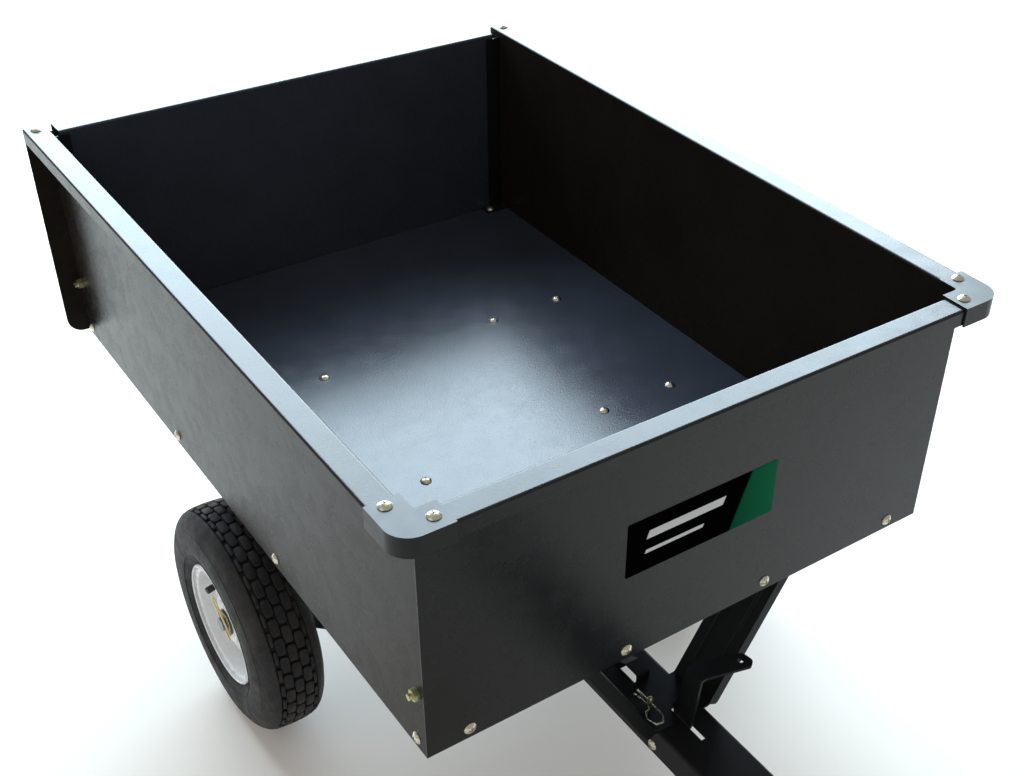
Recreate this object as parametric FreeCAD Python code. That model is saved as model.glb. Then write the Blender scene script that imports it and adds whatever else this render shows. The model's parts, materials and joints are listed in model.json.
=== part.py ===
import FreeCAD, Part
import math
import os

from FreeCAD import Vector

# Tow-behind dump cart.  Units are millimetres.
# +Z is up, the hitch end faces -Y and the cart's own right side faces -X.
# The ground is z = 0 and the cart's box is centred on x = 0 and y = 0.

# ---- driving dimensions -------------------------------------------------
BED_LENGTH = 1016.0
BED_WIDTH = 730.0
BED_HEIGHT = 332.0
SHEET = 1.5
BEND = 2.5
RIM_WIDTH = 30.0
RIM_SKIRT = 20.0
FLOOR_LEVEL = 25.0

TYRE_RADIUS = 165.0
TYRE_HALF_WIDTH = 48.0
WHEEL_OFFSET = 358.0
AXLE_RADIUS = 9.525
AXLE_HALF_LENGTH = 398.0
AXLE_BELOW_BED = 210.0
AXLE_BEHIND_CENTRE = 16.5

TONGUE_WIDTH = 76.0
TONGUE_HEIGHT = 44.0
TONGUE_WALL = 2.5
TONGUE_BELOW_BED = 174.0
TONGUE_REACH = 1055.0
TONGUE_TAIL = 86.0
HITCH_HOLE_RADIUS = 8.3

GATE_REAR = 521.0
RUNNING_GAP = 0.075
REST_GAP = 0.3

# ---- derived positions --------------------------------------------------
BED_Z = TYRE_RADIUS + AXLE_BELOW_BED
SHIFT_Y = (TONGUE_REACH - GATE_REAR) / 2.0
HALF_W = BED_WIDTH / 2.0
HALF_L = BED_LENGTH / 2.0
RIM_Z = BED_HEIGHT
AXLE_Y = AXLE_BEHIND_CENTRE
AXLE_Z = -AXLE_BELOW_BED
TONGUE_TOP = -TONGUE_BELOW_BED
TONGUE_FOOT = TONGUE_TOP - TONGUE_HEIGHT
TONGUE_HALF = TONGUE_WIDTH / 2.0
os.makedirs("parts", exist_ok=True)


# ---- helpers: every shape is made about the bed's centre and lower edge --
def save(name, shape):
    """Move one piece into the cart's frame and write it as a STEP file."""
    moved = shape.copy()
    moved.translate(Vector(0.0, SHIFT_Y, BED_Z))
    moved.exportStep("parts/" + name + ".step")


def box(x0, x1, y0, y1, z0, z1):
    return Part.makeBox(x1 - x0, y1 - y0, z1 - z0, Vector(x0, y0, z0))


def rod(radius, start, end):
    """Solid round bar between two points."""
    a = Vector(*start)
    b = Vector(*end)
    return Part.makeCylinder(radius, (b - a).Length, a, b - a)


def ring(outer, inner, start, end):
    return rod(outer, start, end).cut(rod(inner, start, end))


def fuse(shapes):
    whole = shapes[0]
    if len(shapes) > 1:
        whole = whole.multiFuse(shapes[1:])
    return whole.removeSplitter()


def group(shapes):
    return Part.makeCompound(shapes)


def mirror_x(shape):
    return shape.mirror(Vector(0, 0, 0), Vector(1, 0, 0))


def both_sides(name, shape):
    """Save a piece made for +X and its mirror image for -X."""
    save(name + "_left", shape)
    save(name + "_right", mirror_x(shape))


def plane_point(plane, u, v, w):
    """Put a flat point (u, v) on a named plane at depth w."""
    if plane == "XZ":
        return Vector(u, w, v)
    if plane == "YZ":
        return Vector(w, u, v)
    return Vector(u, v, w)


def plane_normal(plane):
    if plane == "XZ":
        return Vector(0, 1, 0)
    if plane == "YZ":
        return Vector(1, 0, 0)
    return Vector(0, 0, 1)


def prism(plane, points, low, high):
    """Extrude a closed polygon from depth low to depth high."""
    corners = [plane_point(plane, u, v, low) for u, v in points]
    face = Part.Face(Part.makePolygon(corners + corners[:1]))
    return face.extrude(plane_normal(plane) * (high - low))


def unit(ax, ay):
    size = math.hypot(ax, ay)
    return ax / size, ay / size


def corner_data(before, here, after, radius):
    """Tangent points, arc centre and turn side of one rounded corner."""
    ax, ay = unit(here[0] - before[0], here[1] - before[1])
    bx, by = unit(after[0] - here[0], after[1] - here[1])
    turn = math.acos(max(-1.0, min(1.0, ax * bx + ay * by)))
    side = 1.0 if ax * by - ay * bx > 0 else -1.0
    tangent = radius * math.tan(turn / 2.0)
    first = (here[0] - ax * tangent, here[1] - ay * tangent)
    last = (here[0] + bx * tangent, here[1] + by * tangent)
    centre = (first[0] - side * ay * radius, first[1] + side * ax * radius)
    return first, last, centre, side, (ax, ay), (bx, by)


def offset_path(points, radius, shift):
    """Lines and arcs that run beside a rounded path, shifted to its left."""
    parts = []
    ux, uy = unit(points[1][0] - points[0][0], points[1][1] - points[0][1])
    at = (points[0][0] - uy * shift, points[0][1] + ux * shift)
    for i in range(1, len(points) - 1):
        first, last, centre, side, a, b = corner_data(points[i - 1], points[i], points[i + 1], radius)
        start = (first[0] - a[1] * shift, first[1] + a[0] * shift)
        end = (last[0] - b[1] * shift, last[1] + b[0] * shift)
        mx, my = unit(points[i][0] - centre[0], points[i][1] - centre[1])
        reach = radius - side * shift
        middle = (centre[0] + mx * reach, centre[1] + my * reach)
        parts.append(("line", at, start))
        parts.append(("arc", start, middle, end))
        at = end
    ux, uy = unit(points[-1][0] - points[-2][0], points[-1][1] - points[-2][1])
    end = (points[-1][0] - uy * shift, points[-1][1] + ux * shift)
    parts.append(("line", at, end))
    return parts


def strip_face(plane, points, thick, radius, depth):
    """Face of a folded sheet: a rounded mid-line given a thickness."""
    left = offset_path(points, radius, thick / 2.0)
    right = offset_path(points, radius, -thick / 2.0)
    left.append(("line", left[-1][-1], right[-1][-1]))
    right.append(("line", left[0][1], right[0][1]))
    edges = []
    for item in left + right:
        spots = [plane_point(plane, u, v, depth) for u, v in item[1:]]
        if item[0] == "arc":
            edges.append(Part.Arc(*spots).toShape())
        elif (spots[0] - spots[1]).Length > 1e-6:
            edges.append(Part.makeLine(*spots))
    wire = Part.Wire(Part.__sortEdges__(edges))
    return Part.Face(wire)


def folded(plane, points, thick, radius, low, high):
    """Folded sheet of constant profile from depth low to depth high."""
    face = strip_face(plane, points, thick, radius, low)
    return face.extrude(plane_normal(plane) * (high - low))


def rounded_rod(points, wire_radius, bend_radius):
    """Round wire bent along straight runs joined by arcs."""
    spots = [Vector(*p) for p in points]
    edges = []
    at = spots[0]
    for i in range(1, len(spots) - 1):
        a = (spots[i] - spots[i - 1]).normalize()
        b = (spots[i + 1] - spots[i]).normalize()
        turn = a.getAngle(b)
        tangent = bend_radius * math.tan(turn / 2.0)
        first = spots[i] - a * tangent
        last = spots[i] + b * tangent
        inward = (b - a).normalize()
        depth = bend_radius / math.cos(turn / 2.0) - bend_radius
        edges.append(Part.makeLine(at, first))
        edges.append(Part.Arc(first, spots[i] + inward * depth, last).toShape())
        at = last
    edges.append(Part.makeLine(at, spots[-1]))
    path = Part.Wire(edges)
    section = Part.Wire(Part.makeCircle(wire_radius, spots[0], spots[1] - spots[0]))
    return path.makePipeShell([section], True, True)


def soft_prism(plane, corners, low, high):
    """Extrude a closed outline whose corners (u, v, radius) are rounded."""
    count = len(corners)
    spots = [(c[0], c[1]) for c in corners]
    runs = []
    for i in range(count):
        here = spots[i]
        if corners[i][2] <= 0.0:
            runs.append((here, None, here))
            continue
        radius = corners[i][2]
        first, last, centre, side, a, b = corner_data(spots[i - 1], here, spots[(i + 1) % count], radius)
        mx, my = unit(here[0] - centre[0], here[1] - centre[1])
        runs.append((first, (centre[0] + mx * radius, centre[1] + my * radius), last))
    edges = []
    for i in range(count):
        first, middle, last = runs[i]
        if middle:
            spots3 = [plane_point(plane, u, v, low) for u, v in (first, middle, last)]
            edges.append(Part.Arc(*spots3).toShape())
        following = runs[(i + 1) % count][0]
        start = plane_point(plane, last[0], last[1], low)
        end = plane_point(plane, following[0], following[1], low)
        if (start - end).Length > 1e-6:
            edges.append(Part.makeLine(start, end))
    face = Part.Face(Part.Wire(Part.__sortEdges__(edges)))
    return face.extrude(plane_normal(plane) * (high - low))


def aim(shape, spot, direction):
    """Turn a shape made along +Z to a direction and put it at a spot."""
    turned = shape.copy()
    spin = FreeCAD.Rotation(Vector(0, 0, 1), Vector(*direction))
    turned.Placement = FreeCAD.Placement(Vector(*spot), spin)
    return turned


# ---- fasteners ----------------------------------------------------------
SCREW_SHANK = 3.9
SCREW_HOLE = 4.2
SCREW_HEAD = 7.5
HEAD_HEIGHT = 4.4
NUT_HEIGHT = 6.5
NUT_CORNER = 7.5
RECESS_LENGTH = 7.0
RECESS_WIDTH = 1.5
RECESS_DEPTH = 2.2


def pan_screw(spot, direction, length):
    """Pan head with a cross recess; the head stands out along direction."""
    head = Part.makeCylinder(SCREW_HEAD, HEAD_HEIGHT)
    dome = Part.makeSphere(9.6, Vector(0, 0, HEAD_HEIGHT - 9.6))
    head = head.common(dome)
    low = HEAD_HEIGHT - RECESS_DEPTH
    half = RECESS_LENGTH / 2.0
    thin = RECESS_WIDTH / 2.0
    head = head.cut(box(-half, half, -thin, thin, low, HEAD_HEIGHT + 1.0))
    head = head.cut(box(-thin, thin, -half, half, low, HEAD_HEIGHT + 1.0))
    shank = Part.makeCylinder(SCREW_SHANK, length + 1.0, Vector(0, 0, -length))
    return aim(head.fuse(shank).removeSplitter(), spot, direction)


def hexagon(radius, height):
    corners = []
    for i in range(6):
        turn = math.radians(60.0 * i)
        corners.append((radius * math.cos(turn), radius * math.sin(turn)))
    return prism("XY", corners, 0.0, height)


def nut(spot, direction):
    """Hex nut that starts at the spot and stands out along direction."""
    body = hexagon(NUT_CORNER, NUT_HEIGHT)
    body = body.cut(Part.makeCylinder(SCREW_SHANK, NUT_HEIGHT))
    return aim(body, spot, direction)


def hex_bolt(spot, direction, length):
    """Hex head standing out along direction, with its shank behind it."""
    shank = Part.makeCylinder(SCREW_SHANK, length, Vector(0, 0, -length))
    body = hexagon(NUT_CORNER, 5.3).fuse(shank)
    return aim(body.removeSplitter(), spot, direction)


# ---- fastener positions -------------------------------------------------
LOW_SCREW_Z = 14.0
FRONT_SCREW_X = (-312.0, -104.0, 104.0, 312.0)
SIDE_SCREW_Y = (-488.0, -146.0, 158.0, 490.0)
BRACKET_SCREW_X = (143.0, 260.0)
BRACKET_SCREW_Y = (-127.0, 159.0)
SADDLE_SCREWS = ((176.0, -484.0), (176.0, -450.0))
CORNER_BOLT_Z = 88.0
CORNER_BOLT_Y = (-495.0, 494.0)
CAP_SCREWS = ((380.0, -486.0), (350.0, -522.5))
REAR_RIM_SCREW = (380.0, 494.0)
GUIDE_FOOT_SCREW = (336.0, 472.0)
CAP_TOP = RIM_Z + 2.5


def mirrored(pairs):
    return list(pairs) + [(-x, y) for x, y in pairs]


def floor_screw_spots():
    spots = [(x, y) for x in BRACKET_SCREW_X for y in BRACKET_SCREW_Y]
    return mirrored(spots + list(SADDLE_SCREWS))


def bore_all(shape, spots, radius, low, high):
    """Drill upright holes at (x, y) spots."""
    for x, y in spots:
        shape = shape.cut(rod(radius, (x, y, low), (x, y, high)))
    return shape


# ---- bed ----------------------------------------------------------------
def floor_pan():
    front = -HALF_L + SHEET
    rear = 481.5
    side = HALF_W - SHEET
    outer = box(-side, side, front, rear, 2.0, FLOOR_LEVEL)
    inner = box(-side + SHEET, side - SHEET, front + SHEET, rear - SHEET, 1.0, FLOOR_LEVEL - SHEET)
    pan = outer.cut(inner)
    pan = bore_all(pan, floor_screw_spots(), SCREW_HOLE, 20.0, 30.0)
    pan = bore_all(pan, mirrored([GUIDE_FOOT_SCREW]), SCREW_HOLE, 20.0, 30.0)
    for x in FRONT_SCREW_X:
        pan = pan.cut(rod(SCREW_HOLE, (x, front - 1.0, LOW_SCREW_Z), (x, front + 5.0, LOW_SCREW_Z)))
    for y in SIDE_SCREW_Y[:3]:
        pan = pan.cut(rod(SCREW_HOLE, (-HALF_W, y, LOW_SCREW_Z), (HALF_W, y, LOW_SCREW_Z)))
    save("floor_pan", pan)


def rim_profile(wall):
    """Mid-line of a wall with its rim turned out and down."""
    middle = wall - SHEET / 2.0
    top = RIM_Z - SHEET / 2.0
    edge = wall + RIM_WIDTH - SHEET / 2.0
    return [(middle, 0.0), (middle, top), (edge, top), (edge, RIM_Z - RIM_SKIRT)]


def side_panels():
    panel = folded("XZ", rim_profile(HALF_W), SHEET, BEND, -HALF_L + SHEET, HALF_L)
    outer = HALF_W + RIM_WIDTH
    shape = [(HALF_W - 0.5, 3.0, 0), (outer, 3.0, 24.0), (outer, 314.0, 0), (HALF_W - 0.5, 314.0, 0)]
    panel = panel.fuse(soft_prism("XZ", shape, HALF_L - SHEET, HALF_L))
    ledge = box(HALF_W - 0.5, outer - 1.0, HALF_L - SHEET, HALF_L, 312.0, RIM_Z - SHEET)
    panel = panel.fuse(ledge).removeSplitter()
    for y in SIDE_SCREW_Y:
        panel = panel.cut(rod(SCREW_HOLE, (HALF_W - 5.0, y, LOW_SCREW_Z), (HALF_W + 5.0, y, LOW_SCREW_Z)))
    for y in CORNER_BOLT_Y:
        panel = panel.cut(rod(SCREW_HOLE, (HALF_W - 5.0, y, CORNER_BOLT_Z), (HALF_W + 5.0, y, CORNER_BOLT_Z)))
    panel = bore_all(panel, [CAP_SCREWS[0], REAR_RIM_SCREW], SCREW_HOLE, 320.0, 340.0)
    both_sides("side_panel", panel)


def front_panel():
    profile = [(-u, v) for u, v in rim_profile(HALF_L)]
    panel = folded("YZ", profile, SHEET, BEND, -HALF_W, HALF_W)
    inside = HALF_W - SHEET
    for side in (-1.0, 1.0):
        x0, x1 = sorted((side * inside, side * (inside - SHEET)))
        panel = panel.fuse(box(x0, x1, -HALF_L + 0.5, -HALF_L + 27.0, 27.0, 300.0))
    panel = panel.removeSplitter()
    for x in FRONT_SCREW_X:
        panel = panel.cut(rod(SCREW_HOLE, (x, -HALF_L - 5.0, LOW_SCREW_Z), (x, -HALF_L + 5.0, LOW_SCREW_Z)))
    bolt_y = CORNER_BOLT_Y[0]
    panel = panel.cut(rod(SCREW_HOLE, (-HALF_W, bolt_y, CORNER_BOLT_Z), (HALF_W, bolt_y, CORNER_BOLT_Z)))
    panel = bore_all(panel, mirrored([CAP_SCREWS[1]]), SCREW_HOLE, 320.0, 340.0)
    save("front_panel", panel)


CAP_WALL = 2.3
CAP_GAP = 0.2


def corner_caps():
    """L-shaped cover over the open corner of the two rims."""
    out_x = HALF_W + RIM_WIDTH + CAP_GAP
    out_y = -HALF_L - RIM_WIDTH - CAP_GAP
    far_x = out_x + CAP_WALL
    far_y = out_y - CAP_WALL
    outline = [
        (far_x, far_y, 27.0),
        (far_x, -476.0, 0),
        (HALF_W - 5.0, -476.0, 0),
        (HALF_W - 5.0, -HALF_L + 5.0, 4.0),
        (336.0, -HALF_L + 5.0, 0),
        (336.0, far_y, 0),
    ]
    cap = soft_prism("XY", outline, RIM_Z - 22.0, CAP_TOP)
    room = [(out_x, out_y, 24.7), (out_x, -400.0, 0), (300.0, -400.0, 0), (300.0, out_y, 0)]
    cap = cap.cut(soft_prism("XY", room, RIM_Z - 30.0, RIM_Z))
    cap = bore_all(cap, CAP_SCREWS, SCREW_HOLE, 320.0, 340.0)
    both_sides("corner_cap", cap)


def tailgate_guides():
    """Upright channel in each rear corner that the tailgate slides in."""
    web = HALF_W - 1.5 * SHEET
    front = 482.0 + SHEET / 2.0
    rear = 506.5 - SHEET / 2.0
    path = [(340.0, front), (web, front), (web, rear), (343.0, rear)]
    guide = folded("XY", path, SHEET, 1.5, 26.0, 322.0)
    guide = guide.fuse(box(324.0, 361.0, 461.0, 483.0, FLOOR_LEVEL, FLOOR_LEVEL + SHEET))
    guide = guide.fuse(box(344.0, HALF_W - SHEET, 482.5, 506.0, FLOOR_LEVEL - 21.5, FLOOR_LEVEL - 20.0))
    guide = guide.fuse(box(HALF_W - 2.0 * SHEET, HALF_W - SHEET, 484.0, 505.0, 3.5, 30.0))
    guide = guide.removeSplitter()
    guide = bore_all(guide, [GUIDE_FOOT_SCREW], SCREW_HOLE, 24.0, 30.0)
    for y, z in ((CORNER_BOLT_Y[1], CORNER_BOLT_Z), (SIDE_SCREW_Y[3], LOW_SCREW_Z)):
        guide = guide.cut(rod(SCREW_HOLE, (HALF_W - 8.0, y, z), (HALF_W, y, z)))
    both_sides("tailgate_guide", guide)


GATE_HALF = 355.5
GATE_FRONT = 484.2
GATE_FOOT = 5.4
GATE_TOP = RIM_Z - 4.0


def tailgate():
    """Sliding rear panel with a turned-over top edge and stiff sides."""
    front = GATE_FRONT + SHEET / 2.0
    top = GATE_TOP - SHEET / 2.0
    lip = GATE_REAR - SHEET / 2.0
    low_lip = [(front, GATE_TOP - 30.0), (front, top), (lip, top), (lip, GATE_TOP - 22.0)]
    gate = folded("YZ", low_lip, SHEET, BEND, -353.0, 353.0)
    gate = gate.fuse(box(-GATE_HALF, GATE_HALF, GATE_FRONT, GATE_FRONT + SHEET, GATE_FOOT, GATE_TOP - 10.0))
    for side in (-1.0, 1.0):
        x0, x1 = sorted((side * GATE_HALF, side * (GATE_HALF - SHEET)))
        gate = gate.fuse(box(x0, x1, GATE_FRONT + 0.5, 503.0, GATE_FOOT, 314.0))
    gate = gate.fuse(box(-GATE_HALF, GATE_HALF, GATE_FRONT + 0.5, 503.0, GATE_FOOT, GATE_FOOT + SHEET))
    save("tailgate", gate.removeSplitter())


SADDLE_THICK = 3.0
SADDLE_FRONT = -502.0
SADDLE_REAR = -432.0
LIP_WIDTH = 13.0
SADDLE_SLOPE = math.tan(math.radians(30.3))
LEVER_X = (0.0, 4.0)
PIN_SPOT = (-22.0, -462.0)
PIN_RADIUS = 4.0


def saddle_path():
    """Mid-line of the V-shaped front support, right strut to left strut."""
    base = TONGUE_TOP + REST_GAP + SADDLE_THICK / 2.0
    head = FLOOR_LEVEL - SHEET - SADDLE_THICK / 2.0
    foot_x = TONGUE_HALF + 5.0
    head_x = foot_x + (head - base) * SADDLE_SLOPE
    half = [(foot_x, base), (head_x, head), (head_x + 34.0, head)]
    return [(-x, z) for x, z in reversed(half)] + half


def strut_rib(y):
    """Pressed rib that runs along one strut's upper face."""
    path = saddle_path()
    low = path[3]
    high = path[4]
    start = Vector(low[0] + 19.0, y, low[1] + 19.0 / SADDLE_SLOPE)
    end = Vector(high[0] - 9.0, y, high[1] - 9.0 / SADDLE_SLOPE)
    bar = Part.makeCylinder(4.0, (end - start).Length, start, end - start)
    return bar.fuse(Part.makeSphere(4.0, start)).fuse(Part.makeSphere(4.0, end))


def strut_lip(y0, y1):
    """Stiffening lip along one edge of a strut, turned away from the load."""
    low, high = saddle_path()[3:5]
    out_x = LIP_WIDTH * math.cos(math.atan(SADDLE_SLOPE))
    out_z = LIP_WIDTH * math.sin(math.atan(SADDLE_SLOPE))
    points = [
        (low[0] + 1.0, low[1]),
        (high[0] - 3.0, high[1] - 4.0),
        (high[0] - 3.0 + out_x, high[1] - 4.0 - out_z),
        (low[0] + 3.5 + out_x, low[1] - out_z + 4.0),
        (low[0] + out_x, low[1] - out_z + 1.5),
    ]
    return prism("XZ", points, y0, y1)


def saddle():
    body = folded("XZ", saddle_path(), SADDLE_THICK, 6.0, SADDLE_FRONT, SADDLE_REAR)
    front_lip = strut_lip(SADDLE_FRONT, SADDLE_FRONT + SADDLE_THICK)
    rear_lip = strut_lip(SADDLE_REAR - SADDLE_THICK, SADDLE_REAR)
    body = fuse([body, front_lip, rear_lip, mirror_x(front_lip), mirror_x(rear_lip)])
    for y in (-451.0, -487.0):
        rib = strut_rib(y)
        body = body.fuse(rib).fuse(mirror_x(rib))
    body = body.removeSplitter()
    body = body.cut(box(LEVER_X[0] - 3.0, LEVER_X[1] + 3.0, SADDLE_FRONT - 1.0, -480.0, -180.0, -165.0))
    hole = rod(PIN_RADIUS + RUNNING_GAP, (PIN_SPOT[0], PIN_SPOT[1], -180.0), (PIN_SPOT[0], PIN_SPOT[1], -165.0))
    body = body.cut(hole)
    save("front_saddle", bore_all(body, floor_screw_spots(), SCREW_HOLE, 15.0, 30.0))


BRACKET_THICK = 3.0


def bed_brackets():
    """Four folded plates that hang the bed on the axle."""
    top = FLOOR_LEVEL - SHEET
    y0, y1 = BRACKET_SCREW_Y[0] - 20.0, BRACKET_SCREW_Y[1] + 20.0
    outline = [
        (y0, top, 8.0),
        (y0, top - 24.0, 20.0),
        (AXLE_Y - 28.0, AXLE_Z - 2.0, 30.0),
        (AXLE_Y - 20.0, AXLE_Z - 26.0, 19.0),
        (AXLE_Y + 20.0, AXLE_Z - 26.0, 19.0),
        (AXLE_Y + 28.0, AXLE_Z - 2.0, 30.0),
        (y1, top - 24.0, 20.0),
        (y1, top, 8.0),
    ]
    for name, cheek, screw in (("inner", 127.0, 143.0), ("outer", 276.0, 260.0)):
        side = 1.0 if screw > cheek else -1.0
        x0, x1 = sorted((cheek, cheek + side * BRACKET_THICK))
        plate = soft_prism("YZ", outline, x0, x1)
        f0, f1 = sorted((cheek, cheek + side * 31.0))
        plate = plate.fuse(box(f0, f1, y0, y1, top - BRACKET_THICK, top)).removeSplitter()
        plate = plate.cut(rod(AXLE_RADIUS + RUNNING_GAP, (x0 - 1.0, AXLE_Y, AXLE_Z), (x1 + 1.0, AXLE_Y, AXLE_Z)))
        both_sides("bed_bracket_" + name, bore_all(plate, floor_screw_spots(), SCREW_HOLE, 15.0, 30.0))


def bed_screws():
    """Every screw and nut of the bed, one node for each place and kind."""
    floor_spots = floor_screw_spots()
    down = (0, 0, -1)
    screws = [pan_screw((x, y, FLOOR_LEVEL), (0, 0, 1), 13.0) for x, y in floor_spots]
    feet = mirrored([GUIDE_FOOT_SCREW])
    screws += [pan_screw((x, y, FLOOR_LEVEL + SHEET), (0, 0, 1), 12.0) for x, y in feet]
    save("floor_screws", group(screws))
    nuts = [nut((x, y, FLOOR_LEVEL - SHEET - SADDLE_THICK), down) for x, y in floor_spots]
    nuts += [nut((x, y, FLOOR_LEVEL - SHEET), down) for x, y in feet]
    save("floor_nuts", group(nuts))
    front = [pan_screw((x, -HALF_L, LOW_SCREW_Z), (0, -1, 0), 12.0) for x in FRONT_SCREW_X]
    save("front_screws", group(front))
    inner_y = -HALF_L + 2.0 * SHEET
    save("front_nuts", group([nut((x, inner_y, LOW_SCREW_Z), (0, 1, 0)) for x in FRONT_SCREW_X]))
    sides = []
    side_nuts = []
    for side in (-1.0, 1.0):
        for y in SIDE_SCREW_Y:
            through = y < SIDE_SCREW_Y[3]
            length = 12.0 if through else 7.0
            sides.append(pan_screw((side * HALF_W, y, LOW_SCREW_Z), (side, 0, 0), length))
            if through:
                side_nuts.append(nut((side * (HALF_W - 2.0 * SHEET), y, LOW_SCREW_Z), (-side, 0, 0)))
    save("side_screws", group(sides))
    save("side_nuts", group(side_nuts))


def corner_fasteners():
    """Corner bolts with their nuts outside, and the screws of the rims."""
    bolts = []
    nuts = []
    for side in (-1.0, 1.0):
        for y in CORNER_BOLT_Y:
            bolts.append(pan_screw((side * (HALF_W - 2.0 * SHEET), y, CORNER_BOLT_Z), (-side, 0, 0), 14.0))
            nuts.append(nut((side * HALF_W, y, CORNER_BOLT_Z), (side, 0, 0)))
    save("corner_bolts", group(bolts))
    save("corner_nuts", group(nuts))
    caps = [pan_screw((x, y, CAP_TOP), (0, 0, 1), 13.0) for x, y in mirrored(CAP_SCREWS)]
    save("cap_screws", group(caps))
    rear = [pan_screw((x, y, RIM_Z), (0, 0, 1), 11.0) for x, y in mirrored([REAR_RIM_SCREW])]
    save("rear_rim_screws", group(rear))
    tops = mirrored(list(CAP_SCREWS) + [REAR_RIM_SCREW])
    save("rim_nuts", group([nut((x, y, RIM_Z - SHEET), (0, 0, -1)) for x, y in tops]))


def decal():
    """Thin unmarked label on the front panel."""
    outline = [(-112.0, 126.0, 2.0), (99.0, 126.0, 2.0), (99.0, 201.0, 2.0), (-112.0, 201.0, 2.0)]
    save("decal", soft_prism("XZ", outline, -HALF_L - 0.4, -HALF_L))


# ---- drawbar ------------------------------------------------------------
HITCH_Y = -1030.0
PIVOT = (-492.0, -205.0)
PLATE_BOLT_Y = (-25.0, 58.0)
PLATE_BOLT_Z = -196.0
BRACE_BOLT = (-298.0, -204.0)
BRACE_END_X = 286.0
COTTER_X = 394.5
CLIP_TURN = 42.7


def across(radius, half, y, z):
    """Bar along X, centred on the cart's middle."""
    return rod(radius, (-half, y, z), (half, y, z))


def tongue():
    """Inverted channel with its lever slot, pin slot and lanced loop."""
    side = TONGUE_HALF - TONGUE_WALL / 2.0
    top = TONGUE_TOP - TONGUE_WALL / 2.0
    path = [(-side, TONGUE_FOOT), (-side, top), (side, top), (side, TONGUE_FOOT)]
    bar = folded("XZ", path, TONGUE_WALL, 4.0, -TONGUE_REACH, TONGUE_TAIL)
    low = TONGUE_TOP - 10.0
    high = TONGUE_TOP + 5.0
    bar = bar.cut(box(LEVER_X[0] - 1.5, LEVER_X[1] + 1.5, -541.0, -478.0, low, high))
    slot = [(PIN_SPOT[0] - 4.75, -467.0), (PIN_SPOT[0] + 4.75, -467.0)]
    slot = [(x, y, 4.0) for x, y in slot] + [(x, -450.0, 4.0) for x, y in reversed(slot)]
    bar = bar.cut(soft_prism("XY", slot, low, high))
    bar = bar.cut(box(-11.5, 12.0, -416.5, -385.0, low, high))
    loop_top = TONGUE_TOP + 13.0 - TONGUE_WALL / 2.0
    rest = TONGUE_TOP + TONGUE_WALL / 2.0
    loop = [(-417.75, TONGUE_TOP - 2.0), (-417.75, loop_top), (-394.0, loop_top), (-376.0, rest), (-366.0, rest)]
    bar = bar.fuse(folded("YZ", loop, TONGUE_WALL, 3.0, -9.0, 11.0)).removeSplitter()
    bar = bar.cut(across(4.1, 60.0, *PIVOT)).cut(across(4.1, 60.0, *BRACE_BOLT))
    for y in PLATE_BOLT_Y:
        bar = bar.cut(across(4.1, 60.0, y, PLATE_BOLT_Z))
    bar = bar.cut(across(AXLE_RADIUS + RUNNING_GAP, 60.0, AXLE_Y, AXLE_Z))
    save("tongue", bar.cut(rod(HITCH_HOLE_RADIUS, (0, HITCH_Y, low), (0, HITCH_Y, high))))


def hitch_plate():
    outline = [
        (-TONGUE_HALF, -TONGUE_REACH, 6.0),
        (TONGUE_HALF, -TONGUE_REACH, 6.0),
        (TONGUE_HALF, -955.0, 6.0),
        (-TONGUE_HALF, -955.0, 6.0),
    ]
    plate = soft_prism("XY", outline, TONGUE_FOOT - 5.0, TONGUE_FOOT)
    hole = rod(HITCH_HOLE_RADIUS, (0, HITCH_Y, TONGUE_FOOT - 6.0), (0, HITCH_Y, TONGUE_FOOT + 1.0))
    save("hitch_plate", plate.cut(hole))


def axle_plates():
    """Plates that hold the axle against the sides of the tongue."""
    outline = [(-45.0, -232.0, 10.0), (78.0, -232.0, 10.0), (78.0, -178.0, 10.0), (-45.0, -178.0, 10.0)]
    plate = soft_prism("YZ", outline, TONGUE_HALF, TONGUE_HALF + 3.0)
    plate = plate.cut(across(AXLE_RADIUS + RUNNING_GAP, 60.0, AXLE_Y, AXLE_Z))
    for y in PLATE_BOLT_Y:
        plate = plate.cut(across(4.1, 60.0, y, PLATE_BOLT_Z))
    both_sides("axle_plate", plate)
    bolts = []
    nuts = []
    spots = [(TONGUE_HALF + 3.0, y, PLATE_BOLT_Z) for y in PLATE_BOLT_Y]
    spots.append((TONGUE_HALF + 4.0, BRACE_BOLT[0], BRACE_BOLT[1]))
    for side in (-1.0, 1.0):
        for x, y, z in spots:
            bolts.append(hex_bolt((side * x, y, z), (side, 0, 0), 16.0))
            nuts.append(nut((side * (TONGUE_HALF - TONGUE_WALL), y, z), (-side, 0, 0)))
    save("drawbar_bolts", group(bolts))
    save("drawbar_nuts", group(nuts))


def clip_point(s, n):
    """Point s along and n beside the leg of the hairpin in the axle's end."""
    along = math.radians(CLIP_TURN)
    y = AXLE_Y + s * math.cos(along) - n * math.sin(along)
    z = AXLE_Z + s * math.sin(along) + n * math.cos(along)
    return (COTTER_X, y, z)


def axle():
    bar = across(AXLE_RADIUS, AXLE_HALF_LENGTH, AXLE_Y, AXLE_Z)
    hole = rod(1.5, clip_point(-12.0, 0.0), clip_point(12.0, 0.0))
    save("axle", bar.cut(group([hole, mirror_x(hole)])))
    path = [(-26.0, 0.0), (34.0, 0.0), (42.0, 5.5), (34.0, 11.2), (-10.0, 11.2), (-21.0, 14.5)]
    clip = rounded_rod([clip_point(s, n) for s, n in path], 1.4, 3.0)
    save("cotter_pins", group([clip, mirror_x(clip)]))


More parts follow.
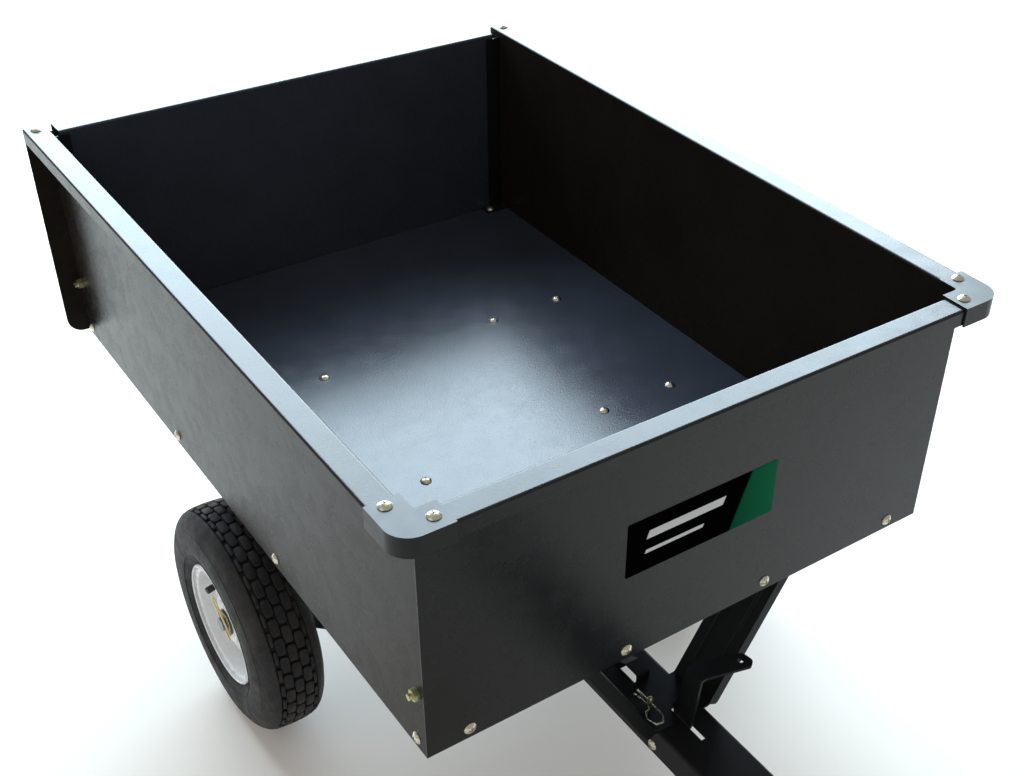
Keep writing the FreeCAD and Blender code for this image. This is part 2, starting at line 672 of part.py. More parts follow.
def braces():
    """Flat bars that run from the tongue's sides out to the axle."""
    path = [(BRACE_END_X, 45.0), (BRACE_END_X, -45.0), (TONGUE_HALF + 2.0, -272.0), (TONGUE_HALF + 2.0, -322.0)]
    bar = folded("XY", path, 4.0, 8.0, -226.0, -194.0)
    bar = bar.cut(rod(AXLE_RADIUS + RUNNING_GAP, (280.0, AXLE_Y, AXLE_Z), (292.0, AXLE_Y, AXLE_Z)))
    bar = bar.cut(across(4.1, 60.0, *BRACE_BOLT))
    both_sides("brace", bar)


def axle_ring(outer, inner, x0, x1):
    """The same ring on both ends of the axle."""
    rings = []
    for side in (-1.0, 1.0):
        rings.append(ring(outer, inner, (side * x0, AXLE_Y, AXLE_Z), (side * x1, AXLE_Y, AXLE_Z)))
    return rings


def axle_spacers():
    bore = AXLE_RADIUS + RUNNING_GAP
    tubes = axle_ring(13.0, bore, BRACE_END_X + 2.3, 324.2) + axle_ring(13.0, bore, 276.4, BRACE_END_X - 2.3)
    save("axle_spacers", group(tubes))
    save("axle_washers", group(axle_ring(16.0, bore, 324.5, 326.1) + axle_ring(16.0, bore, 389.9, 391.5)))


# ---- wheels, made about their own centre with the axle along X ----------
HUB_HALF = 30.0
TREAD_PITCHES = 36
TREAD_ROWS = (-32.0, -16.0, 0.0, 16.0, 32.0)


def spun(face):
    return face.revolve(Vector(0, 0, 0), Vector(1, 0, 0), 360)


def wheel_to_axle(shape):
    moved = shape.copy()
    moved.translate(Vector(WHEEL_OFFSET, AXLE_Y, AXLE_Z))
    return moved


def curve(points):
    line = Part.BSplineCurve()
    line.interpolate([Vector(u, 0, r) for u, r in points])
    return line.toShape()


def straight(a, b):
    return Part.makeLine(Vector(a[0], 0, a[1]), Vector(b[0], 0, b[1]))


def tyre_section():
    """Hollow tyre cut through: crown, sidewalls and two beads."""
    half = TYRE_HALF_WIDTH
    crown = TYRE_RADIUS
    outer = [(36.0, 93.5), (44.0, 99.5), (half, 114.0), (46.0, 136.0), (40.5, 153.0), (28.0, crown - 2.5), (0.0, crown)]
    inner = [(28.5, 93.0), (37.5, 101.0), (42.0, 115.0), (40.0, 133.0), (34.0, 146.5), (22.0, 154.0), (0.0, 156.5)]
    outer = outer + [(-u, r) for u, r in reversed(outer[:-1])]
    inner = inner + [(-u, r) for u, r in reversed(inner[:-1])]
    edges = [curve(outer), curve(inner)]
    for side in (-1.0, 1.0):
        heel = (side * 34.5, 79.85)
        toe = (side * 28.0, 79.25)
        edges.append(straight((side * 36.0, 93.5), heel))
        edges.append(straight(heel, toe))
        edges.append(straight(toe, (side * 28.5, 93.0)))
    return Part.Face(Part.Wire(Part.__sortEdges__(edges)))


def tread_cuts():
    """Cross slots of every tread row; neighbouring rows are staggered."""
    cuts = []
    step = 360.0 / TREAD_PITCHES
    for row, middle in enumerate(TREAD_ROWS):
        slot = box(middle - 8.0, middle + 8.0, -2.0, 2.0, TYRE_RADIUS - 6.5, TYRE_RADIUS + 5.0)
        start = step / 2.0 if row % 2 else 0.0
        for i in range(TREAD_PITCHES):
            turned = slot.copy()
            turned.rotate(Vector(0, 0, 0), Vector(1, 0, 0), start + step * i)
            cuts.append(turned)
    return cuts


def tyres():
    tyre = spun(tyre_section())
    for low, high in zip(TREAD_ROWS[:-1], TREAD_ROWS[1:]):
        middle = (low + high) / 2.0
        groove = Part.makeCylinder(TYRE_RADIUS + 5.0, 3.0, Vector(middle - 1.5, 0, 0), Vector(1, 0, 0))
        depth = 6.0 if abs(middle) > 15.0 else 4.5
        groove = groove.cut(Part.makeCylinder(TYRE_RADIUS - depth, 3.0, Vector(middle - 1.5, 0, 0), Vector(1, 0, 0)))
        tyre = tyre.cut(groove)
    tyre = tyre.cut(group(tread_cuts()))
    both_sides("tyre", wheel_to_axle(tyre))


VALVE_START = (11.0, 59.5)
VALVE_END = (35.0, 55.0)
VALVE_TURN = -68.0


def valve_rod(radius, start, end):
    bar = rod(radius, (start[0], 0, start[1]), (end[0], 0, end[1]))
    bar.rotate(Vector(0, 0, 0), Vector(1, 0, 0), VALVE_TURN)
    return bar


def wheel_rims():
    """Pressed rim: barrel with two dished discs, and the valve hole."""
    well = [(9.0, 70.0), (15.0, 77.0), (37.0, 79.0), (37.5, 87.0), (40.5, 89.0), (42.5, 85.5)]
    barrel = [(-u, r) for u, r in reversed(well)] + well
    rim = spun(strip_face("XZ", barrel, 2.0, 1.2, 0.0))
    disc = [(8.0, 69.5), (14.0, 60.0), (24.0, 44.0), (27.0, 31.0), (27.0, 20.0)]
    outboard = spun(strip_face("XZ", disc, 2.0, 1.6, 0.0))
    rim = fuse([rim, outboard, mirror_x(outboard)])
    hole = valve_rod(4.5, VALVE_START, VALVE_END)
    both_sides("wheel_rim", wheel_to_axle(rim.cut(hole)))


def wheel_hubs():
    hub = ring(20.0, 17.0, (-HUB_HALF, 0, 0), (HUB_HALF, 0, 0))
    for side in (-1.0, 1.0):
        hub = hub.fuse(ring(31.0, 19.5, (side * (HUB_HALF - 1.9), 0, 0), (side * HUB_HALF, 0, 0)))
    both_sides("wheel_hub", wheel_to_axle(hub.removeSplitter()))
    bushes = []
    for side in (-1.0, 1.0):
        bush = rod(17.0, (side * (HUB_HALF - 18.0), 0, 0), (side * HUB_HALF, 0, 0))
        bush = bush.fuse(rod(19.0, (side * HUB_HALF, 0, 0), (side * (HUB_HALF + 1.5), 0, 0)))
        bore = AXLE_RADIUS + RUNNING_GAP
        bushes.append(bush.cut(rod(bore, (-40.0, 0, 0), (40.0, 0, 0))).removeSplitter())
    both_sides("hub_bushes", wheel_to_axle(group(bushes)))


def valve_stems():
    body = valve_rod(4.3, (11.2, 59.46), (26.0, 56.7))
    cap = valve_rod(4.9, (25.0, 56.9), VALVE_END)
    both_sides("valve_stem", wheel_to_axle(fuse([body, cap])))


# ---- latch --------------------------------------------------------------
def latch_lever():
    """Plate that hooks over the saddle, with a foot pedal bent from its top."""
    y, z = PIVOT
    outline = [
        (y - 10.0, z - 10.0, 9.9),
        (y + 10.0, z - 10.0, 9.9),
        (y + 9.0, TONGUE_TOP, 0),
        (y + 9.0, TONGUE_TOP + 4.2, 0),
        (y + 11.5, TONGUE_TOP + 4.2, 0.8),
        (y + 11.5, TONGUE_TOP + 12.0, 2.0),
        (y + 5.0, TONGUE_TOP + 21.0, 6.0),
        (-499.0, -83.0, 0),
        (-527.0, -83.0, 0),
        (y - 26.0, TONGUE_TOP + 3.0, 10.0),
    ]
    plate = soft_prism("YZ", outline, LEVER_X[0], LEVER_X[1])
    plate = plate.cut(across(PIN_RADIUS + RUNNING_GAP, 60.0, y, z))
    pedal = [
        (LEVER_X[0], -499.0, 0),
        (15.0, -497.0, 0),
        (73.8, -517.3, 8.0),
        (76.7, -534.8, 7.0),
        (67.9, -541.4, 4.0),
        (9.6, -526.7, 0),
        (LEVER_X[0], -527.0, 0),
    ]
    pad = soft_prism("XY", pedal, -87.0, -83.0)
    pad = pad.cut(rod(4.0, (63.4, -526.5, -90.0), (63.4, -526.5, -80.0)))
    save("latch_lever", plate.fuse(pad).removeSplitter())


def latch_bolt():
    half = TONGUE_HALF + 9.0
    y, z = PIVOT
    head = pan_screw((-TONGUE_HALF, y, z), (-1, 0, 0), TONGUE_WIDTH + 9.0)
    thin = rod(PIN_RADIUS, (-TONGUE_HALF, y, z), (half, y, z))
    save("latch_bolt", head.fuse(thin).removeSplitter())
    far = nut((TONGUE_HALF, y, z), (1, 0, 0))
    save("latch_nut", far.cut(rod(PIN_RADIUS, (0, y, z), (half, y, z))))


def latch_spring():
    """Torsion spring round the pivot bolt, one leg up beside the lever."""
    wire = 0.9
    start = LEVER_X[1] + 1.5
    reach = 5.6
    y, z = PIVOT
    helix = Part.makeHelix(2.4, 9.6, reach)
    section = Part.Wire(Part.makeCircle(wire, Vector(reach, 0, 0), Vector(0, 1, 0)))
    coil = Part.Wire(helix.Edges).makePipeShell([section], True, True)
    coil.rotate(Vector(0, 0, 0), Vector(0, 1, 0), 90)
    coil.translate(Vector(start, y, z))
    leg = rod(wire, (start, y, z - reach), (start, y - 16.0, z - reach))
    save("latch_spring", coil.fuse(leg))


def lock_pin():
    """Round pin, cross-drilled near its domed top."""
    x, y = PIN_SPOT
    pin = rod(PIN_RADIUS, (x, y, -196.0), (x, y, -158.5))
    dome = Part.makeSphere(PIN_RADIUS, Vector(x, y, -158.5))
    pin = pin.fuse(dome).removeSplitter()
    save("lock_pin", pin.cut(rod(1.6, (x, y - 10.0, -164.0), (x, y + 10.0, -164.0))))


def r_clip():
    """Bent wire: straight leg through the pin and a bow beside it."""
    x, y = PIN_SPOT
    z = -164.0
    points = [
        (x, y + 26.0, z),
        (x, y - 27.5, z),
        (x - 6.0, y - 36.0, z),
        (x - 17.0, y - 33.5, z),
        (x - 21.0, y - 21.0, z),
        (x - 14.0, y - 10.5, z),
        (x - 5.7, y - 8.0, z),
        (x - 5.7, y + 10.0, z),
        (x - 8.0, y + 23.0, z),
    ]
    save("r_clip", rounded_rod(points, 1.3, 4.0))


def main():
    floor_pan()
    side_panels()
    front_panel()
    corner_caps()
    tailgate_guides()
    tailgate()
    saddle()
    bed_brackets()
    bed_screws()
    corner_fasteners()
    decal()
    tongue()
    hitch_plate()
    axle_plates()
    axle()
    braces()
    axle_spacers()
    tyres()
    wheel_rims()
    wheel_hubs()
    valve_stems()
    latch_lever()
    latch_bolt()
    latch_spring()
    lock_pin()
    r_clip()


main()
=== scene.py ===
import bpy
import bmesh
import json
import math
from mathutils import Matrix, Vector


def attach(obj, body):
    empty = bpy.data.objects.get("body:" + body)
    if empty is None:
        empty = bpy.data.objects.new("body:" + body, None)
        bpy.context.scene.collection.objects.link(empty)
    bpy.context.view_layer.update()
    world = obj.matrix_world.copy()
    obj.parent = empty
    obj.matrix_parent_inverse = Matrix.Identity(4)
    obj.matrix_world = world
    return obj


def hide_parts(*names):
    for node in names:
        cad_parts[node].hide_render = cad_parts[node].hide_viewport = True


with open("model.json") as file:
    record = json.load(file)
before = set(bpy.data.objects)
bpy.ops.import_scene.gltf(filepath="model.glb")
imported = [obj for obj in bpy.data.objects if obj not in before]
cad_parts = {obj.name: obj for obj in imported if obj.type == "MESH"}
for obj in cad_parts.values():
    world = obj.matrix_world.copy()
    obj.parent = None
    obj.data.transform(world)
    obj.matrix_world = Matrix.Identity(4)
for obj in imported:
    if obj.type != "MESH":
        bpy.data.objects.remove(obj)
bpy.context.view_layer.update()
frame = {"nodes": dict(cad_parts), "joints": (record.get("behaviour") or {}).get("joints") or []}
scene = bpy.context.scene

# ---- named sizes: lights and camera in metres, tyre in millimetres -------
MM = 0.001

CAMERA_PLACE = (-0.8071, -1.0932, 1.4985)
CAMERA_TURN = -36.305
CAMERA_RISE = 37.389
CAMERA_ROLL = 1.676
CAMERA_LENS = 48.18
CAMERA_SHIFT = (-0.0658, 0.0724)

SKY_PLACE = (1.56, 3.95, 2.99)
SKY_TARGET = (0.0, 0.27, 0.5)
SKY_SIZE = (6.4, 4.26)
SKY_POWER = 914.0
SIDE_PLACE = (-3.2, -0.6, 2.6)
SIDE_TARGET = (0.0, 0.2, 0.4)
SIDE_SIZE = (2.4, 2.4)
SIDE_POWER = 12.0
FLOOR_HALF = 14.0
FLOOR_DROP = 0.0006

CROWN = 165.0
TREAD_DEPTH = 5.6
PITCHES = 38
BLOCK_ROWS = (-13.6, 0.0, 13.6)
BAR_ROWS = (-22.9, 22.9)
LATHE_STEPS = 144

# Decal: each bar is (low z, high z, low x, high x), with x slanted by z.
DECAL_SLANT = 0.35
DECAL_BARS = ((0.5455, 0.5565, -0.277, -0.170), (0.5255, 0.5305, -0.271, -0.190))


# ---- camera --------------------------------------------------------------
def add_camera():
    turn = math.radians(CAMERA_TURN)
    rise = math.radians(CAMERA_RISE)
    roll = math.radians(CAMERA_ROLL)
    level = math.cos(rise)
    back = Vector((math.sin(turn) * level, -math.cos(turn) * level, math.sin(rise)))
    right = Vector((math.cos(turn), math.sin(turn), 0.0))
    up = back.cross(right)
    cam_x = math.cos(roll) * right + math.sin(roll) * up
    cam_y = -math.sin(roll) * right + math.cos(roll) * up
    data = bpy.data.cameras.new("camera")
    data.lens = CAMERA_LENS
    data.sensor_width = 36.0
    data.shift_x, data.shift_y = CAMERA_SHIFT
    data.clip_start = 0.02
    cam = bpy.data.objects.new("camera", data)
    scene.collection.objects.link(cam)
    spin = Matrix((cam_x, cam_y, back)).transposed().to_4x4()
    cam.matrix_world = Matrix.Translation(Vector(CAMERA_PLACE)) @ spin
    scene.camera = cam


# ---- light and floor -----------------------------------------------------
def add_area(name, place, target, size, power, colour):
    data = bpy.data.lights.new(name, "AREA")
    data.shape = "RECTANGLE"
    data.size, data.size_y = size
    data.energy = power
    data.color = colour
    light = bpy.data.objects.new(name, data)
    scene.collection.objects.link(light)
    aim = (Vector(target) - Vector(place)).to_track_quat("-Z", "Y")
    light.matrix_world = Matrix.Translation(Vector(place)) @ aim.to_matrix().to_4x4()
    light.visible_camera = False


def add_stage():
    scene.view_settings.view_transform = "Standard"
    scene.view_settings.look = "None"
    world = bpy.data.worlds.new("studio")
    world.use_nodes = True
    shade = world.node_tree.nodes["Background"]
    shade.inputs["Color"].default_value = (1.0, 0.98, 0.95, 1.0)
    shade.inputs["Strength"].default_value = 0.42
    scene.world = world
    add_area("sky_panel", SKY_PLACE, SKY_TARGET, SKY_SIZE, SKY_POWER, (0.70, 0.88, 1.0))
    add_area("side_panel", SIDE_PLACE, SIDE_TARGET, SIDE_SIZE, SIDE_POWER, (1.0, 0.98, 0.95))
    bm = bmesh.new()
    bmesh.ops.create_grid(bm, x_segments=2, y_segments=2, size=FLOOR_HALF)
    mesh = bpy.data.meshes.new("floor")
    bm.to_mesh(mesh)
    bm.free()
    floor = bpy.data.objects.new("floor", mesh)
    floor.location.z = -FLOOR_DROP
    scene.collection.objects.link(floor)
    pale = new_material("floor_pale", (0.82, 0.755, 0.69), 0.8)
    glow = pale.node_tree.nodes["Principled BSDF"]
    glow.inputs["Emission Color"].default_value = (1.0, 0.99, 0.98, 1.0)
    glow.inputs["Emission Strength"].default_value = 0.10
    mesh.materials.append(pale)


# ---- materials -----------------------------------------------------------
def new_material(name, colour, rough, metal=0.0):
    mat = bpy.data.materials.new(name)
    mat.use_nodes = True
    shader = mat.node_tree.nodes["Principled BSDF"]
    shader.inputs["Base Color"].default_value = (*colour, 1.0)
    shader.inputs["Roughness"].default_value = rough
    shader.inputs["Metallic"].default_value = metal
    return mat


class Nodes:
    """Short calls that add and link the nodes of one material."""

    def __init__(self, mat):
        self.tree = mat.node_tree
        self.shader = self.tree.nodes["Principled BSDF"]
        self.coord = self.tree.nodes.new("ShaderNodeTexCoord").outputs["Object"]

    def link(self, a, b):
        self.tree.links.new(a, b)

    def noise(self, scale, detail=2.0, rough=0.5):
        node = self.tree.nodes.new("ShaderNodeTexNoise")
        node.inputs["Scale"].default_value = scale
        node.inputs["Detail"].default_value = detail
        node.inputs["Roughness"].default_value = rough
        self.link(self.coord, node.inputs["Vector"])
        return node.outputs["Fac"]

    def ramp(self, value, stops):
        node = self.tree.nodes.new("ShaderNodeValToRGB")
        ends = node.color_ramp.elements
        while len(ends) < len(stops):
            ends.new(0.5)
        for end, (spot, colour) in zip(ends, stops):
            end.position = spot
            end.color = (*colour, 1.0)
        self.link(value, node.inputs["Fac"])
        return node.outputs["Color"]

    def upward(self):
        face = self.tree.nodes.new("ShaderNodeNewGeometry")
        split = self.tree.nodes.new("ShaderNodeSeparateXYZ")
        self.link(face.outputs["Normal"], split.inputs["Vector"])
        return split.outputs["Z"]

    def spread(self, value, low, high, out_low, out_high):
        node = self.tree.nodes.new("ShaderNodeMapRange")
        node.inputs["From Min"].default_value = low
        node.inputs["From Max"].default_value = high
        node.inputs["To Min"].default_value = out_low
        node.inputs["To Max"].default_value = out_high
        self.link(value, node.inputs["Value"])
        return node.outputs["Result"]

    def math(self, kind, a, b):
        node = self.tree.nodes.new("ShaderNodeMath")
        node.operation = kind
        for slot, item in zip(node.inputs, (a, b)):
            if isinstance(item, (int, float)):
                slot.default_value = item
            else:
                self.link(item, slot)
        return node.outputs["Value"]

    def band(self, value, low, high):
        above = self.math("GREATER_THAN", value, low)
        return self.math("MULTIPLY", above, self.math("LESS_THAN", value, high))

    def mix(self, factor, a, b):
        node = self.tree.nodes.new("ShaderNodeMix")
        node.data_type = "RGBA"
        self.link(factor, node.inputs["Factor"])
        for key, item in (("A", a), ("B", b)):
            slot = next(s for s in node.inputs if s.name == key and s.type == "RGBA")
            if isinstance(item, tuple):
                slot.default_value = (*item, 1.0)
            else:
                self.link(item, slot)
        return next(s for s in node.outputs if s.type == "RGBA")

    def bump(self, height, distance, strength=1.0, below=None):
        node = self.tree.nodes.new("ShaderNodeBump")
        node.inputs["Distance"].default_value = distance
        node.inputs["Strength"].default_value = strength
        self.link(height, node.inputs["Height"])
        if below is not None:
            self.link(below, node.inputs["Normal"])
        return node.outputs["Normal"]

    def out(self, **values):
        names = {"colour": "Base Color", "rough": "Roughness", "normal": "Normal"}
        for key, value in values.items():
            self.link(value, self.shader.inputs[names[key]])


def powder_coat(name, colour, rough, grain, depth, shine, top):
    """Textured powder coat: fine orange peel, with upright faces duller than level ones."""
    mat = new_material(name, colour, rough)
    n = Nodes(mat)
    n.link(n.spread(n.upward(), 0.5, 0.9, shine, top), n.shader.inputs["Specular IOR Level"])
    normal = n.bump(n.noise(grain, 1.5, 0.5), depth)
    light = tuple(c * 1.15 for c in colour)
    dark = tuple(c * 0.85 for c in colour)
    n.out(colour=n.ramp(n.noise(9.0, 5.0, 0.6), [(0.3, dark), (0.7, light)]))
    n.out(rough=n.spread(n.noise(35.0, 4.0, 0.6), 0.3, 0.7, rough - 0.04, rough + 0.05))
    n.out(normal=normal)
    return mat


def plated(name, colour, tint, rough):
    """Zinc plate: metal with a drifting passivation tint and fine pits."""
    mat = new_material(name, colour, rough, 1.0)
    n = Nodes(mat)
    n.out(colour=n.mix(n.spread(n.noise(160.0, 3.0), 0.35, 0.65, 0.0, 1.0), colour, tint))
    n.out(rough=n.spread(n.noise(420.0, 3.0), 0.3, 0.7, rough - 0.07, rough + 0.12))
    n.out(normal=n.bump(n.noise(1260.0, 2.0), 0.00003))
    return mat


def tyre_rubber():
    """Matt rubber with patches and specks of pale dust."""
    mat = new_material("tyre_rubber", (0.013, 0.013, 0.014), 0.7)
    mat.node_tree.nodes["Principled BSDF"].inputs["Specular IOR Level"].default_value = 0.3
    n = Nodes(mat)
    dust = n.spread(n.noise(38.0, 6.0, 0.65), 0.42, 0.72, 0.0, 0.55)
    speck = n.spread(n.noise(210.0, 3.0, 0.6), 0.5, 0.72, 0.0, 0.5)
    dirty = n.math("MULTIPLY", n.math("ADD", dust, speck), 0.8)
    n.out(colour=n.mix(dirty, (0.015, 0.015, 0.017), (0.056, 0.047, 0.038)))
    n.out(rough=n.spread(n.noise(60.0, 4.0), 0.3, 0.7, 0.55, 0.8))
    normal = n.bump(n.noise(900.0, 3.0, 0.7), 0.0002)
    n.out(normal=n.bump(n.noise(120.0, 3.0), 0.0004, 0.6, normal))
    return mat


def white_paint():
    mat = new_material("white_paint", (0.82, 0.83, 0.84), 0.28)
    n = Nodes(mat)
    soil = n.spread(n.noise(45.0, 6.0, 0.65), 0.55, 0.8, 0.0, 0.35)
    n.out(colour=n.mix(soil, (0.82, 0.83, 0.84), (0.55, 0.52, 0.47)))
    n.out(rough=n.spread(n.noise(70.0, 4.0), 0.3, 0.7, 0.22, 0.38))
    n.out(normal=n.bump(n.noise(240.0, 2.0), 0.00008))
    return mat


def plastic(name, colour, rough):
    """Matt moulded surface with a faint grain and colour drift."""
    mat = new_material(name, colour, rough)
    n = Nodes(mat)
    dark = tuple(c * 0.8 for c in colour)
    light = tuple(c * 1.25 for c in colour)
    n.out(colour=n.ramp(n.noise(30.0, 4.0), [(0.3, dark), (0.7, light)]))
    n.out(rough=n.spread(n.noise(90.0, 3.0), 0.3, 0.7, rough - 0.05, rough + 0.06))
    n.out(normal=n.bump(n.noise(700.0, 2.0), 0.00008))
    return mat


def decal_film():
    """Printed film: dark field, a green end and two plain pale bars."""
    mat = new_material("decal_film", (0.01, 0.01, 0.01), 0.3)
    mat.node_tree.nodes["Principled BSDF"].inputs["Specular IOR Level"].default_value = 0.0
    n = Nodes(mat)
    split = n.tree.nodes.new("ShaderNodeSeparateXYZ")
    n.link(n.coord, split.inputs["Vector"])
    x = split.outputs["X"]
    z = split.outputs["Z"]
    slanted = n.math("SUBTRACT", x, n.math("MULTIPLY", z, DECAL_SLANT))
    green = n.spread(slanted, -0.142, -0.139, 0.0, 1.0)
    greens = [(0.0, (0.004, 0.05, 0.028)), (1.0, (0.01, 0.13, 0.06))]
    tone = n.ramp(n.spread(x, 0.02, 0.10, 0.0, 1.0), greens)
    field = n.mix(green, (0.0012, 0.0012, 0.0014), tone)
    bars = []
    for low_z, high_z, low_x, high_x in DECAL_BARS:
        bars.append(n.math("MULTIPLY", n.band(z, low_z, high_z), n.band(slanted, low_x, high_x)))
    n.out(colour=n.mix(n.math("ADD", *bars), field, (0.62, 0.64, 0.65)))
    n.out(rough=n.spread(n.noise(60.0, 3.0), 0.3, 0.7, 0.18, 0.3))
    n.out(normal=n.bump(n.noise(300.0, 2.0), 0.00004))
    return mat


def make_materials():
    kinds = {}
    kinds["coat"] = powder_coat("black_coat", (0.0105, 0.0115, 0.013), 0.26, 520.0, 0.00009, 0.25, 0.45)
    # Side panel copy of the black coat: a warmer, slightly lighter colour, painted light tuned to the light
    # on the side panels.
    kinds["coat_side_painted_light"] = powder_coat("side_coat_painted_light", (0.015, 0.012, 0.0095), 0.26, 520.0, 0.00009, 0.08, 0.45)
    # Tailgate copy of the black coat: a lighter colour, painted light standing in for the front light on the
    # tailgate's inner face.
    kinds["coat_gate_painted_light"] = powder_coat("gate_coat_painted_light", (0.036, 0.042, 0.055), 0.26, 520.0, 0.00009, 0.3, 0.45)
    # Floor pan copy of the black coat: a lighter colour, painted light that lifts the shaded far floor.
    kinds["coat_floor_painted_light"] = powder_coat("floor_coat_painted_light", (0.036, 0.043, 0.060), 0.2, 430.0, 0.00028, 0.4, 0.5)
    kinds["steel_black"] = powder_coat("black_steel", (0.009, 0.0095, 0.011), 0.45, 420.0, 0.00012, 0.14, 0.3)
    kinds["cap"] = powder_coat("cap_coat", (0.014, 0.015, 0.017), 0.32, 700.0, 0.00006, 0.2, 0.5)
    kinds["zinc"] = plated("zinc", (0.62, 0.61, 0.53), (0.66, 0.60, 0.42), 0.26)
    kinds["zinc_blue"] = plated("zinc_blue", (0.16, 0.20, 0.24), (0.26, 0.27, 0.27), 0.4)
    kinds["zinc_yellow"] = plated("zinc_yellow", (0.62, 0.50, 0.24), (0.70, 0.62, 0.42), 0.3)
    kinds["zinc_green"] = plated("zinc_green", (0.42, 0.52, 0.26), (0.64, 0.56, 0.30), 0.32)
    kinds["white"] = white_paint()
    kinds["rubber"] = tyre_rubber()
    kinds["bush"] = plastic("bush_plastic", (0.02, 0.02, 0.02), 0.5)
    kinds["valve"] = plastic("valve_rubber", (0.02, 0.014, 0.011), 0.6)
    kinds["decal"] = decal_film()
    return kinds


# The longest name start that fits a CAD node picks its material.
LOOKS = {
    "floor_pan": "coat_floor_painted_light",
    "side_panel": "coat_side_painted_light",
    "tailgate": "coat_gate_painted_light",
    "tailgate_guide": "coat",
    "corner_cap": "cap",
    "decal": "decal",
    "axle": "zinc_blue",
    "axle_spacers": "steel_black",
    "axle_washers": "zinc_yellow",
    "axle_plate": "steel_black",
    "cotter": "zinc_yellow",
    "corner_bolts": "zinc_green",
    "corner_nuts": "zinc_green",
    "hub_bushes": "bush",
    "valve": "valve",
    "wheel_hub": "white",
    "wheel_rim": "white",
    "tyre": "rubber",
    "lock_pin": "zinc",
    "r_clip": "zinc",
    "latch_spring": "zinc",
    "latch_bolt": "zinc",
    "latch_nut": "zinc",
    "tongue": "steel_black",
    "hitch_plate": "steel_black",
    "brace": "steel_black",
    "latch_lever": "steel_black",
    "front_saddle": "steel_black",
}

# Width in millimetres of the eased edges, by name start.
EASED = {
    "corner_cap": 1.3,
    "front_saddle": 0.4,
    "latch_lever": 0.5,
    "hitch_plate": 0.6,
    "brace": 0.5,
    "tongue": 0.3,
}


def pick_kind(name):
    kind = "coat"
    if "screws" in name or "nuts" in name or "bolts" in name:
        kind = "zinc"
    for key in sorted(LOOKS, key=len):
        if name.startswith(key):
            kind = LOOKS[key]
    return kind


def ease_edges(node, width):
    edge = node.modifiers.new("soft_edge", "BEVEL")
    edge.width = width * MM
    edge.segments = 2
    edge.limit_method = "ANGLE"
    edge.angle_limit = math.radians(40)


def dress_cad(kinds):
    """Give every carried-over CAD piece its material, and soft edges to the pieces listed in EASED."""
    for name, node in frame["nodes"].items():
        kind = kinds[pick_kind(name)]
        for slot in node.material_slots:
            slot.material = kind
        if not node.material_slots:
            node.data.materials.append(kind)
        for key, width in EASED.items():
            if name.startswith(key):
                ease_edges(node, width)


# ---- mesh helpers --------------------------------------------------------
def finish_mesh(name, bm, kind, body, place):
    bmesh.ops.recalc_face_normals(bm, faces=bm.faces)
    mesh = bpy.data.meshes.new(name)
    bm.to_mesh(mesh)
    bm.free()
    obj = bpy.data.objects.new(name, mesh)
    mesh.materials.append(kind)
    scene.collection.objects.link(obj)
    obj.location = place
    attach(obj, body)
    return obj


def smooth_by_angle(obj, angle):
    for face in obj.data.polygons:
        face.use_smooth = True
    obj.data.set_sharp_from_angle(angle=math.radians(angle))


def blend_four(a, b, c, d, t):
    """Catmull-Rom value between b and c, at t from 0 to 1."""
    square = (2 * a - 5 * b + 4 * c - d) * t * t
    cube = (3 * b - a - 3 * c + d) * t ** 3
    return 0.5 * (2 * b + (c - a) * t + square + cube)


def catmull(points, steps):
    """Smooth run of points through the given ones."""
    out = []
    count = len(points)
    for i in range(count - 1):
        before = points[max(i - 1, 0)]
        after = points[min(i + 2, count - 1)]
        for j in range(steps):
            near = zip(before, points[i], points[i + 1], after)
            out.append(tuple(blend_four(a, b, c, d, j / steps) for a, b, c, d in near))
    out.append(points[-1])
    return out


def wheel_point(u, r, angle):
    return Vector((u * MM, -math.sin(angle) * r * MM, math.cos(angle) * r * MM))


def lathe(bm, profile):
    """Turn a closed profile of (u, r) pairs about the X axis."""
    rings = []
    for i in range(LATHE_STEPS):
        angle = 2.0 * math.pi * i / LATHE_STEPS
        rings.append([bm.verts.new(wheel_point(u, r, angle)) for u, r in profile])
    for i in range(LATHE_STEPS):
        here = rings[i]
        there = rings[(i + 1) % LATHE_STEPS]
        for j in range(len(profile)):
            k = (j + 1) % len(profile)
            bm.faces.new((here[j], here[k], there[k], there[j]))


# ---- tyre ----------------------------------------------------------------
def tread_radius(u):
    """Radius of the tread's top at u from the tyre's middle plane."""
    return CROWN - 0.001966 * u * u - 1.99e-9 * u ** 6


def add_block(bm, outline, middle, angle, height, taper):
    """One tread block: outline of (across, along) pairs about its middle."""
    levels = ((1.0, -1.5), (1.0, height - 1.1), (1.0 - taper * 0.35, height - 0.3), (1.0 - taper, height))
    rings = []
    for scale, rise in levels:
        loop = []
        for across, along in outline:
            u = middle + across * scale
            r = tread_radius(u) - TREAD_DEPTH + rise
            loop.append(bm.verts.new(wheel_point(u, r, angle + along * scale / CROWN)))
        rings.append(loop)
    count = len(outline)
    for low, high in zip(rings[:-1], rings[1:]):
        for i in range(count):
            j = (i + 1) % count
            bm.faces.new((low[i], low[j], high[j], high[i]))
    bm.faces.new(rings[-1])
    bm.faces.new(list(reversed(rings[0])))


def block_outline(width, length, corner):
    """Oblong whose four corners are each cut by two short flats."""
    w = width / 2.0
    s = length / 2.0
    quarter = [(w, s - corner * 1.5), (w - corner * 0.7, s - corner * 0.4), (w - corner * 1.5, s)]
    back = list(reversed(quarter))
    outline = quarter + [(-u, v) for u, v in back]
    return outline + [(-u, -v) for u, v in quarter] + [(u, -v) for u, v in back]


def mirror_profile(half):
    """Half a profile that ends at u = 0, joined to its mirror image."""
    return half + [(-u, r) for u, r in reversed(half[:-1])]


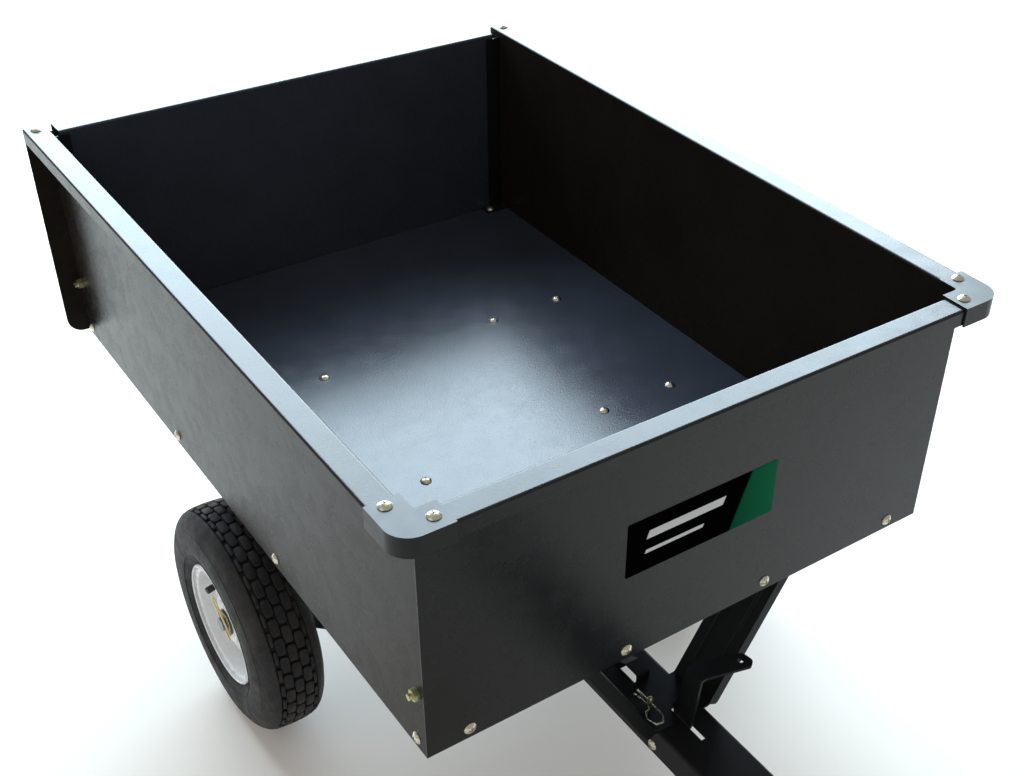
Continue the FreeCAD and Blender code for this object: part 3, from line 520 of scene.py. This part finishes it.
def carcass_profile():
    """Tyre without its blocks: bead, sidewall and groove floor, then the inside."""
    outer = [
        (35.5, 80.4), (36.4, 86.0), (38.4, 91.6), (41.0, 94.6), (43.6, 98.0), (45.0, 100.4),
        (45.9, 102.0), (47.2, 107.0), (48.0, 115.0), (47.8, 124.0), (46.9, 132.0), (45.6, 138.5),
        (44.6, 142.6), (43.0, 146.0), (40.5, 151.0), (36.0, 156.6), (31.0, 160.6), (27.6, 162.1),
        (26.4, 161.2), (25.8, 158.6), (18.0, 158.8), (8.0, 159.3), (0.0, 159.4),
    ]
    inner = [
        (-29.5, 80.4), (-31.0, 92.0), (-38.0, 101.0), (-42.0, 116.0), (-39.0, 135.0),
        (-30.0, 150.0), (0.0, 154.0),
    ]
    return mirror_profile(catmull(outer, 3)) + mirror_profile(catmull(inner, 3))


def add_tread(bm):
    """Three staggered rows of blocks between two rows of narrow bars."""
    step = 2.0 * math.pi / PITCHES
    block = block_outline(12.0, 23.6, 2.3)
    bar = block_outline(4.8, 20.0, 1.0)
    for row, middle in enumerate(BLOCK_ROWS):
        start = step / 2.0 if row % 2 else 0.0
        for i in range(PITCHES):
            add_block(bm, block, middle, start + step * i, TREAD_DEPTH, 0.07)
    for middle in BAR_ROWS:
        for i in range(PITCHES):
            add_block(bm, bar, middle, step / 2.0 + step * i, TREAD_DEPTH - 0.2, 0.12)


def add_rib(bm, way, height, u, lean):
    """Thin moulded ring on the sidewall, at radius height."""
    profile = [
        (u - 1.2, height - 1.0),
        (u + 0.5, height - 0.8),
        (u + 0.9 + lean * 0.5, height),
        (u + 0.5 + lean, height + 0.8),
        (u - 1.2, height + 1.0),
    ]
    lathe(bm, [(way * a, b) for a, b in profile])


def make_tyre(side, kinds):
    bm = bmesh.new()
    lathe(bm, carcass_profile())
    add_tread(bm)
    for height, u, lean in ((104.0, 46.6, 0.35), (139.6, 45.3, -0.3)):
        for way in (-1.0, 1.0):
            add_rib(bm, way, height, u, lean)
    joint = next(j for j in frame["joints"] if j["name"] == "wheel_" + side + "_spin")
    body = "wheel_" + side
    obj = finish_mesh("tyre_" + side + "_rubber", bm, kinds["rubber"], body, joint["pos_m"])
    smooth_by_angle(obj, 34)
    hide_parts("tyre_" + side)


add_camera()
kinds = make_materials()
add_stage()
dress_cad(kinds)
for side in ("left", "right"):
    make_tyre(side, kinds)
